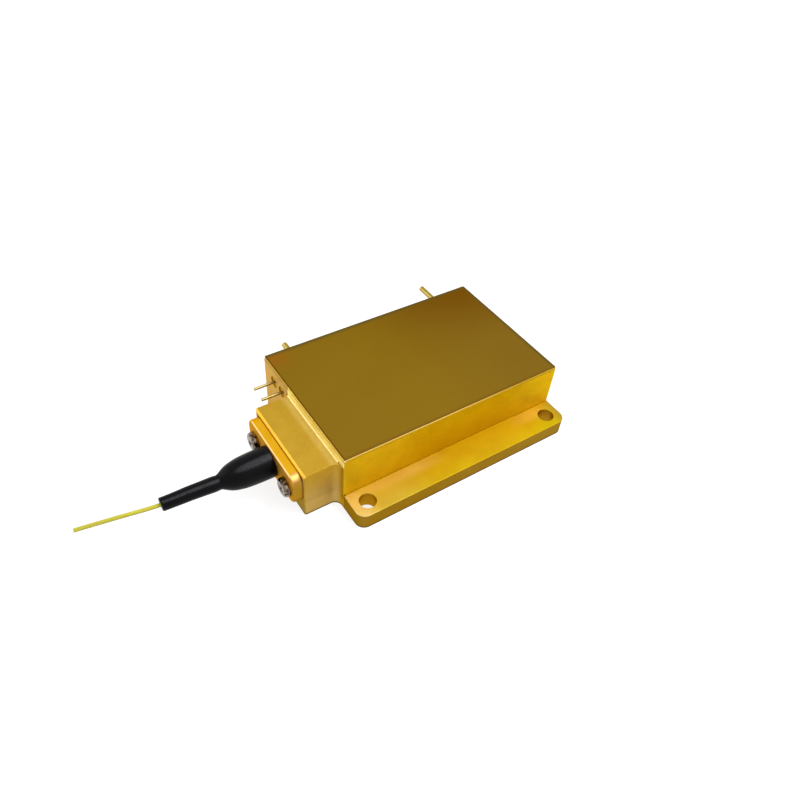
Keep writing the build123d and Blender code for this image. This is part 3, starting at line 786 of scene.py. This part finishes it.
PLATE_GOLD = GoldPlating(
    "plate_gold",
    "e2ac20",
    shade="f6f2ea",
    roughness=0.4,
    cloud_size=4 * MM,
    painted_light_zones=(
        # Near corner, front bevel, front face and near side: a painted highlight on the corner and a
        # painted highlight line on the bevel, painted shade on the front face and near side
        PaintedLightZone("d6a45c", ((Along.HEIGHT, 11.2, 12.4), (Along.WIDTH, -14.4, -15.6))),
        PaintedLightZone("dab783", ((Along.LENGTH, -43.8, -43.86), (Along.HEIGHT, 12.8, 12.9))),
        PaintedLightZone("c8963c", ((Along.LENGTH, -44.02, -44.08),), haze=0.2),
        PaintedLightZone("a68030", ((Along.WIDTH, -16.5, -17.3),)),
    ),
)
POWER_PIN_GOLD = GoldPlating("power_pin_gold", "ac9a54", roughness=0.32, cloud_size=3 * MM)
PIN_GOLD = GoldPlating(
    "pin_gold", "b2a46f", roughness=0.32, cloud_size=3 * MM, grain_depth=0.0005 * MM
)
FOIL_GOLD = GoldPlating("foil_gold", "eec35a", roughness=0.2, cloud_size=1.5 * MM)
SOLDER = GoldPlating("lid_solder", "c4aa40", roughness=0.45, cloud_size=1.2 * MM)
# Sharp dark and bright patches in the screws' steel are painted reflections, standing in for mirrored
# dark surroundings and bright streaks.
SCREW_STEEL = BrightMetal(
    "screw_steel", "948474", "342a20", roughness=0.16, mark_size=0.14 * MM, cloud_edge=0.14
)
TURNED_NICKEL = BrightMetal("turned_nickel", "cfc9bc", "a49c8c", grain=Grain.TURNED_ABOUT_X)
BOOT_PLASTIC = ShrunkPlastic("boot_plastic")
TUBE_PLASTIC = FibreJacket("tube_plastic")
LENS_GLASS = OpticalGlass("lens_glass")
FILTER_GLASS = OpticalGlass("filter_glass", tint="dfe6ff")
SILICA = OpticalGlass("silica", tint="f4f8ff", roughness=0.05)
PIN_GLASS = SealGlass("pin_glass")
NITRIDE = FiredCeramic("nitride", "e6e2d8", "cfc9bc")
CHIP = FiredCeramic("chip_crystal", "5e6068", "3a3c44", roughness=0.25, metallic=0.6)
PAD = FiredCeramic("alumina", "f2efe8", "dcd8cc")
BEAD = FiredCeramic("thermistor_bead", "38322c", "1f1b18", roughness=0.45)
MIRROR = BrightMetal("mirror_coat", "eef0f4", "d6d9e0", roughness=0.1)
GASKET = GasketSheet("gasket_sheet")
PAPER = PaperFloor("studio_paper")


def dress(piece: bpy.types.Object, material: bpy.types.Material) -> None:
    """Give a piece this material and no other."""
    piece.data.materials.clear()
    piece.data.materials.append(material)


def dress_nodes(names: Iterable[str], material: bpy.types.Material) -> None:
    """Give solids of the frame a material, and report each.

    Args:
        names: The solids' nodes.
        material: The material.
    """
    for name in names:
        dress(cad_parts[name], material)
        log.info("%s dressed in %s", name, material.name)


def start_clean() -> None:
    """Leave edit mode and deselect everything, so that an operator acts on what it adds."""
    if bpy.context.mode != "OBJECT":
        bpy.ops.object.mode_set(mode="OBJECT")
    bpy.ops.object.select_all(action="DESELECT")


def take_up(name: str) -> bpy.types.Object:
    """Name the primitive that was just added and go into edit mode.

    Args:
        name: The piece's name.

    Returns:
        The piece, with its place in its mesh.
    """
    piece = bpy.context.active_object
    piece.name = name
    piece.data.name = name
    bpy.ops.object.transform_apply(location=True, rotation=True, scale=True)
    bpy.ops.object.mode_set(mode="EDIT")
    return piece


def pick_faces(piece: bpy.types.Object, wanted: Callable[[bpy.types.MeshPolygon], bool]) -> None:
    """Select the faces that pass the test and no others.

    Args:
        piece: The piece, in edit mode.
        wanted: The test, given a face.
    """
    bpy.ops.mesh.select_mode(type="FACE")
    bpy.ops.mesh.select_all(action="DESELECT")
    bpy.ops.object.mode_set(mode="OBJECT")
    for face in piece.data.polygons:
        face.select = wanted(face)
    bpy.ops.object.mode_set(mode="EDIT")


def pick_edges(piece: bpy.types.Object, wanted: Callable[[Vector, Vector], bool]) -> None:
    """Select the edges whose two ends pass the test and no others.

    Args:
        piece: The piece, in edit mode.
        wanted: The test, given the edge's two ends.
    """
    bpy.ops.mesh.select_mode(type="EDGE")
    bpy.ops.mesh.select_all(action="DESELECT")
    bpy.ops.object.mode_set(mode="OBJECT")
    points = piece.data.vertices
    for edge in piece.data.edges:
        first, second = edge.vertices
        edge.select = wanted(points[first].co, points[second].co)
    bpy.ops.object.mode_set(mode="EDIT")


def finish_mesh(piece: bpy.types.Object, smooth_angle: float = 35.0) -> None:
    """Leave edit mode with merged points, outward faces and smooth shading.

    Args:
        piece: The piece, in edit mode.
        smooth_angle: The angle, in degrees, up to which two faces are shaded as one.
    """
    bpy.ops.mesh.select_all(action="SELECT")
    bpy.ops.mesh.remove_doubles(threshold=MERGE_DISTANCE)
    bpy.ops.mesh.normals_make_consistent(inside=False)
    bpy.ops.object.mode_set(mode="OBJECT")
    bpy.ops.object.select_all(action="DESELECT")
    piece.select_set(True)
    bpy.context.view_layer.objects.active = piece
    bpy.ops.object.shade_smooth_by_angle(angle=math.radians(smooth_angle))


def apply_all(piece: bpy.types.Object) -> None:
    """Apply every modifier of a piece in order.

    Args:
        piece: The piece, in object mode.
    """
    bpy.context.view_layer.objects.active = piece
    for modifier in list(piece.modifiers):
        bpy.ops.object.modifier_apply(modifier=modifier.name)


@dataclass
class View:
    """The camera, at the photograph's viewing angle."""

    eye: Point = (-87.23 * MM, -110.48 * MM, 141.68 * MM)
    aim: Point = (-0.2 * MM, 3.35 * MM, 0.0)
    right: Point = (0.8319, -0.5507, 0.0684)
    lens: float = 32.14
    sensor: float = 36.0
    clip_start: float = 1 * MM
    clip_end: float = 20.0

    def build(self) -> None:
        """Make the camera and use it for the scene."""
        sight = Vector(self.aim) - Vector(self.eye)
        forward = sight.normalized()
        right = Vector(self.right)
        right = (right - forward * right.dot(forward)).normalized()
        up = right.cross(forward)
        data = bpy.data.cameras.new("view")
        data.lens = self.lens
        data.sensor_width = self.sensor
        data.clip_start = self.clip_start
        data.clip_end = self.clip_end
        camera = bpy.data.objects.new("view", data)
        turn = Matrix((right, up, -forward)).transposed().to_4x4()
        camera.matrix_world = Matrix.Translation(self.eye) @ turn
        bpy.context.scene.collection.objects.link(camera)
        bpy.context.scene.camera = camera
        log.info("view %.1f mm from its aim", sight.length / MM)


@dataclass(frozen=True)
class Lamp:
    """A soft square lamp."""

    name: str
    place: Point
    size: float
    power: float

    def build(self) -> None:
        """Make the lamp, aimed at the module."""
        data = bpy.data.lights.new(self.name, "AREA")
        data.size = self.size
        data.energy = self.power
        lamp = bpy.data.objects.new(self.name, data)
        lamp.location = self.place
        lamp.rotation_euler = (-Vector(self.place)).to_track_quat("-Z", "Y").to_euler()
        bpy.context.scene.collection.objects.link(lamp)


@dataclass
class Studio:
    """White paper under the module, soft lamps and a plain white sky."""

    floor_size: float = 6.0
    floor_drop: float = 0.02 * MM
    floor_cuts: int = 7
    sky: float = 0.95
    sky_seen: float = 1.0
    lamps: tuple[Lamp, ...] = (
        Lamp("lamp_front", (0.436, -0.42, 0.796), 1.0, 4.0),
        Lamp("lamp_top", (0.436, -0.2, 0.877), 0.45, 4.6),
        Lamp("lamp_left", (-0.71, 0.553, 0.436), 0.8, 2.6),
    )

    def build(self) -> None:
        """Make the floor, the lamps and the sky."""
        start_clean()
        bpy.ops.mesh.primitive_plane_add(
            size=self.floor_size, location=(0.0, 0.0, -self.floor_drop)
        )
        floor = take_up("studio_floor")
        bpy.ops.mesh.subdivide(number_cuts=self.floor_cuts)
        finish_mesh(floor)
        dress(floor, PAPER.material())
        for lamp in self.lamps:
            lamp.build()
        self._build_sky()
        bpy.context.scene.view_settings.view_transform = "Standard"
        log.info("studio with %d lamps", len(self.lamps))

    def _build_sky(self) -> None:
        """Make the sky, even all round and as white as the paper where it is seen."""
        recipe = Recipe("studio_sky", sky=True)
        strength = self.sky + (self.sky_seen - self.sky) * seen_ray(recipe)
        light = recipe.node(
            "ShaderNodeBackground", values={"Color": linear(WHITE), "Strength": strength}
        )
        bpy.context.scene.world = recipe.finished(light)


@dataclass
class FibreTube:
    """The yellow tube round the fibre, from its start in the gland to its bare end.

    The points of the route, and the exit, where the tube leaves the gland, are in metres.
    """

    route: tuple[Point, ...] = (
        (-0.0515, -0.0055, 0.00875),
        (-0.0577, -0.0055, 0.00875),
        (-0.0644, -0.00525, 0.00905),
        (-0.0712, -0.0050, 0.00872),
        (-0.0802, -0.0033, 0.0086),
        (-0.0891, -0.0018, 0.0084),
    )
    diameter: float = 1.0 * MM
    length: float = 37.9 * MM
    exit: Point = (-0.0551, -0.0055, 0.00875)
    steps_along: int = 12
    steps_round: int = 6

    def build(self, boot: bpy.types.Object) -> None:
        """Make the tube along its route.

        Args:
            boot: The sleeve that the tube runs in; not used.
        """
        line = bpy.data.curves.new("fibre_tube_line", "CURVE")
        line.dimensions = "3D"
        line.resolution_u = self.steps_along
        line.bevel_depth = self.diameter / 2
        line.bevel_resolution = self.steps_round
        line.use_fill_caps = True
        spline = line.splines.new("NURBS")
        spline.points.add(len(self.route) - 1)
        for point, place in zip(spline.points, self.route):
            point.co = (*place, 1.0)
        spline.order_u = 3
        spline.use_endpoint_u = True
        tube = bpy.data.objects.new("fibre_jacket", line)
        bpy.context.scene.collection.objects.link(tube)
        dress(tube, TUBE_PLASTIC.material())
        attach(tube, "root")
        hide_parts("fibre_tube")
        log.info("fibre tube of %d points", len(self.route))


@dataclass
class Boot:
    """The black sleeve: a bulb shrunk tight on the gland, and a tail along the fibre tube.

    Each station is a distance out from the plate, a radius, and how far the sleeve's middle lies
    across and up from the gland's axis, all in millimetres. The last ring inside is bridged to
    the first one outside, at the sleeve's root.
    """

    sides: int = 56
    smooth_angle: float = 60.0
    outside: tuple[Station, ...] = (
        (0.20, 3.90, 0.0, 0.0),
        (0.26, 4.00, 0.0, 0.0),
        (0.40, 4.04, 0.0, 0.0),
        (1.60, 4.04, 0.0, 0.0),
        (3.20, 4.02, 0.0, 0.0),
        (5.30, 3.96, 0.0, 0.0),
        (6.70, 3.88, 0.0, 0.0),
        (8.10, 3.73, 0.0, 0.0),
        (9.10, 3.55, 0.0, 0.0),
        (10.10, 3.31, 0.0, 0.0),
        (11.00, 3.00, 0.0, 0.01),
        (11.80, 2.58, 0.01, 0.02),
        (12.40, 2.22, 0.01, 0.03),
        (12.90, 1.93, 0.02, 0.04),
        (13.25, 1.81, 0.02, 0.05),
        (13.55, 1.82, 0.03, 0.06),
        (13.90, 1.87, 0.03, 0.07),
        (14.70, 1.90, 0.05, 0.09),
        (15.90, 1.87, 0.09, 0.13),
        (17.10, 1.83, 0.13, 0.16),
        (18.80, 1.80, 0.19, 0.21),
        (20.50, 1.77, 0.26, 0.22),
        (22.10, 1.73, 0.31, 0.19),
        (23.70, 1.70, 0.38, 0.14),
        (25.30, 1.67, 0.49, 0.07),
        (26.30, 1.66, 0.57, 0.03),
        (26.60, 1.65, 0.60, 0.02),
        (26.75, 1.58, 0.61, 0.02),
        (26.80, 1.48, 0.62, 0.01),
    )
    inside: tuple[Station, ...] = (
        (26.80, 0.72, 0.62, 0.01),
        (26.72, 0.62, 0.61, 0.02),
        (26.30, 0.60, 0.57, 0.03),
        (23.70, 0.60, 0.38, 0.14),
        (20.50, 0.60, 0.26, 0.22),
        (17.10, 0.60, 0.13, 0.16),
        (13.90, 0.60, 0.03, 0.07),
        (11.10, 0.62, 0.0, 0.01),
        (11.05, 2.50, 0.0, 0.0),
        (10.90, 2.65, 0.0, 0.0),
        (7.15, 2.65, 0.0, 0.0),
        (7.05, 2.75, 0.0, 0.0),
        (7.05, 3.35, 0.0, 0.0),
        (6.90, 3.50, 0.0, 0.0),
        (0.35, 3.50, 0.0, 0.0),
        (0.20, 3.55, 0.0, 0.0),
    )

    def _middle(self, station: Station) -> Vector:
        """Return the middle of the ring at this station, in metres."""
        out, _, across, up = station
        return Vector((PLATE_FRONT - out, GLAND_Y + across, GLAND_Z + up)) * MM

    def build(self) -> bpy.types.Object:
        """Draw the sleeve out from its root, ring by ring, inside and out.

        Returns:
            The sleeve.
        """
        start_clean()
        stations = self.outside + self.inside
        before = stations[0]
        bpy.ops.mesh.primitive_circle_add(
            vertices=self.sides,
            radius=before[1] * MM,
            location=self._middle(before),
            rotation=(0.0, math.pi / 2, 0.0),
        )
        sleeve = take_up("boot_sleeve")
        bpy.ops.mesh.select_all(action="SELECT")
        for station in stations[1:]:
            middle = self._middle(station)
            bpy.ops.mesh.extrude_region_move(
                TRANSFORM_OT_translate={"value": middle - self._middle(before)}
            )
            share = station[1] / before[1]
            bpy.ops.transform.resize(value=(1.0, share, share), center_override=middle)
            before = station
        bpy.ops.mesh.select_mode(type="EDGE")
        bpy.ops.mesh.select_all(action="DESELECT")
        bpy.ops.mesh.select_non_manifold()
        bpy.ops.mesh.bridge_edge_loops()
        finish_mesh(sleeve, self.smooth_angle)
        dress(sleeve, BOOT_PLASTIC.material())
        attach(sleeve, "root")
        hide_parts("strain_relief_boot")
        log.info("boot of %d rings", len(stations))
        return sleeve


@dataclass
class PanScrew:
    """A pan-head screw with a cross recess, its sizes in millimetres."""

    drop: float = 0.8
    head_radius: float = 2.5
    head_height: float = 1.5
    head_sides: int = 48
    dome_height: float = 0.75
    dome_steps: int = 6
    shank_radius: float = 1.22
    shank_length: float = 10.2
    point_share: float = 0.06
    point_width: float = 0.6
    recess_reach: float = 1.4
    recess_width: float = 0.62
    recess_depth: float = 0.95
    recess_tip: float = 0.45
    edge_round: float = 0.05
    edge_steps: int = 2
    edge_angle: float = 40.0
    close: float = 0.01

    def _blade(self, middle: Vector, tall: bool) -> bpy.types.Object:
        """Model one blade of the cutter for the recess, tapered towards its tip.

        Args:
            middle: The middle of the head's top, in metres.
            tall: Whether the blade stands upright.

        Returns:
            The blade.
        """
        start_clean()
        reach, width = self.recess_reach * MM, self.recess_width / 2 * MM
        bpy.ops.mesh.primitive_cube_add(size=2.0, location=middle)
        blade = bpy.context.active_object
        blade.scale = (self.recess_depth * MM, width if tall else reach, reach if tall else width)
        blade = take_up("recess_blade")
        deep = middle.x + self.recess_depth / 2 * MM
        pick_faces(blade, lambda face: face.center.x > deep)
        tip = self.recess_tip
        bpy.ops.transform.resize(value=(1.0, tip, tip), center_override=middle)
        bpy.ops.object.mode_set(mode="OBJECT")
        return blade

    def _cut_recess(self, screw: bpy.types.Object, crown: Vector) -> None:
        """Cut the cross into the head, one blade at a time.

        Args:
            screw: The screw, in object mode.
            crown: The middle of the head's top, in metres.
        """
        for tall in (False, True):
            blade = self._blade(crown, tall)
            cut = screw.modifiers.new("recess", "BOOLEAN")
            cut.operation = "DIFFERENCE"
            cut.object = blade
            cut.solver = "EXACT"
            apply_all(screw)
            bpy.data.objects.remove(blade)

    def _round_edges(self, screw: bpy.types.Object) -> None:
        """Round every sharp edge of the screw a little.

        Args:
            screw: The screw, in object mode.
        """
        round_off = screw.modifiers.new("edges", "BEVEL")
        round_off.width = self.edge_round * MM
        round_off.segments = self.edge_steps
        round_off.limit_method = "ANGLE"
        round_off.angle_limit = math.radians(self.edge_angle)
        apply_all(screw)

    def model(self, screw_y: float) -> bpy.types.Object:
        """Model the screw at this place across the plate.

        Args:
            screw_y: Where the screw's axis lies, in millimetres.

        Returns:
            The screw, undressed.
        """
        start_clean()
        seat = Vector((PLATE_FRONT, screw_y, GLAND_Z - self.drop)) * MM
        top = seat.x - self.head_height * MM
        bpy.ops.mesh.primitive_cylinder_add(
            vertices=self.head_sides,
            radius=self.head_radius * MM,
            depth=self.head_height * MM,
            location=seat - Vector((self.head_height / 2 * MM, 0.0, 0.0)),
            rotation=(0.0, math.pi / 2, 0.0),
        )
        screw = take_up("plate_screw_1")
        close = self.close * MM
        pick_edges(screw, lambda a, b: abs(a.x - top) < close and abs(b.x - top) < close)
        bpy.ops.mesh.bevel(offset=self.dome_height * MM, segments=self.dome_steps, profile=0.5)
        pick_faces(screw, lambda face: abs(face.center.x - seat.x) < close)
        bpy.ops.mesh.inset(thickness=(self.head_radius - self.shank_radius) * MM)
        for share in (1 - self.point_share, self.point_share):
            bpy.ops.mesh.extrude_region_move(
                TRANSFORM_OT_translate={"value": (self.shank_length * share * MM, 0.0, 0.0)}
            )
        end = seat + Vector((self.shank_length * MM, 0.0, 0.0))
        bpy.ops.transform.resize(
            value=(1.0, self.point_width, self.point_width), center_override=end
        )
        bpy.ops.object.mode_set(mode="OBJECT")
        self._cut_recess(screw, Vector((top, seat.y, seat.z)))
        self._round_edges(screw)
        start_clean()
        screw.select_set(True)
        bpy.context.view_layer.objects.active = screw
        bpy.ops.object.mode_set(mode="EDIT")
        finish_mesh(screw)
        return screw

    def turned(
        self, screw: bpy.types.Object, name: str, degrees: float, shift: float
    ) -> bpy.types.Object:
        """Copy the screw, turn it about its own axis and move it across the plate.

        Args:
            screw: The screw that was modelled.
            name: The copy's name.
            degrees: How far it is turned.
            shift: How far it is moved along Y, in millimetres.

        Returns:
            The copy, with its own mesh.
        """
        copy = screw.copy()
        copy.data = screw.data.copy()
        copy.name = copy.data.name = name
        bpy.context.scene.collection.objects.link(copy)
        points = [vertex.co for vertex in screw.data.vertices]
        middle = sum(points, Vector()) / len(points)
        axis = Matrix.Translation((0.0, middle.y, (GLAND_Z - self.drop) * MM))
        turn = Matrix.Rotation(math.radians(degrees), 4, "X")
        move = Matrix.Translation((0.0, shift * MM, 0.0))
        copy.data.transform(move @ axis @ turn @ axis.inverted())
        return copy


@dataclass
class PlateScrews:
    """The two screws that hold the plate: how far they lie apart and how far each is turned."""

    spacing: float = 16.5
    turns: tuple[float, float] = (20.0, 65.0)

    def build(self) -> None:
        """Model the near screw, copy it to both places, and dress the copies."""
        pattern = PanScrew()
        first = pattern.model(GLAND_Y - self.spacing / 2)
        steel = SCREW_STEEL.material()
        for number, (shift, turn) in enumerate(zip((0.0, self.spacing), self.turns), 1):
            screw = pattern.turned(first, f"pan_screw_{number}", turn, shift)
            dress(screw, steel)
            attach(screw, "root")
            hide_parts("plate_screws")
        bpy.data.objects.remove(first)
        log.info("two screws, %.1f mm apart", self.spacing)


class Housing:
    """The gold-plated housing with its lid, plate, pins and seals."""

    def build(self) -> None:
        """Dress the solids that are seen from outside."""
        dress_nodes(["housing"], BODY_GOLD.material())
        dress_nodes(["lid"], LID_GOLD.material())
        dress_nodes(["lid_seal"], SOLDER.material())
        dress_nodes(["fibre_plate"], PLATE_GOLD.material())
        dress_nodes(["plate_gasket"], GASKET.material())
        dress_nodes(["power_pin_positive", "power_pin_negative"], POWER_PIN_GOLD.material())
        dress_nodes(["signal_pin_1", "signal_pin_2"], PIN_GOLD.material())
        dress_nodes(
            ["power_seal_positive", "power_seal_negative", "signal_seal_1", "signal_seal_2"],
            PIN_GLASS.material(),
        )


@dataclass
class Optics:
    """What makes and guides the light inside the housing."""

    emitters: int = 6

    def build(self) -> None:
        """Dress the gland, the emitters and the optics."""
        every = range(1, self.emitters + 1)
        dress_nodes(["ferrule_holder", "lens_cell"], TURNED_NICKEL.material())
        dress_nodes(["fibre_capillary", "optical_fibre"], SILICA.material())
        dress_nodes([f"submount_{number}" for number in every], NITRIDE.material())
        dress_nodes([f"laser_chip_{number}" for number in every], CHIP.material())
        lenses = [f"{kind}_lens_{number}" for kind in ("fast_axis", "slow_axis") for number in every]
        dress_nodes([*lenses, "focusing_lens"], LENS_GLASS.material())
        dress_nodes([f"turning_mirror_{number}" for number in every], MIRROR.material())
        dress_nodes(["feedback_filter"], FILTER_GLASS.material())
        dress_nodes(
            ["bond_ribbons", "lead_strap_positive", "lead_strap_negative", "thermistor_leads"],
            FOIL_GOLD.material(),
        )
        dress_nodes(["thermistor_pad"], PAD.material())
        dress_nodes(["thermistor"], BEAD.material())


def main() -> None:
    """Build the camera, the cord, the pieces and the studio."""
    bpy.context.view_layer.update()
    View().build()
    boot = Boot().build()
    FibreTube().build(boot)
    PlateScrews().build()
    Housing().build()
    Optics().build()
    Studio().build()


if __name__ == "__main__":
    logging.basicConfig(level=logging.INFO, format="%(name)s: %(message)s")
    main()
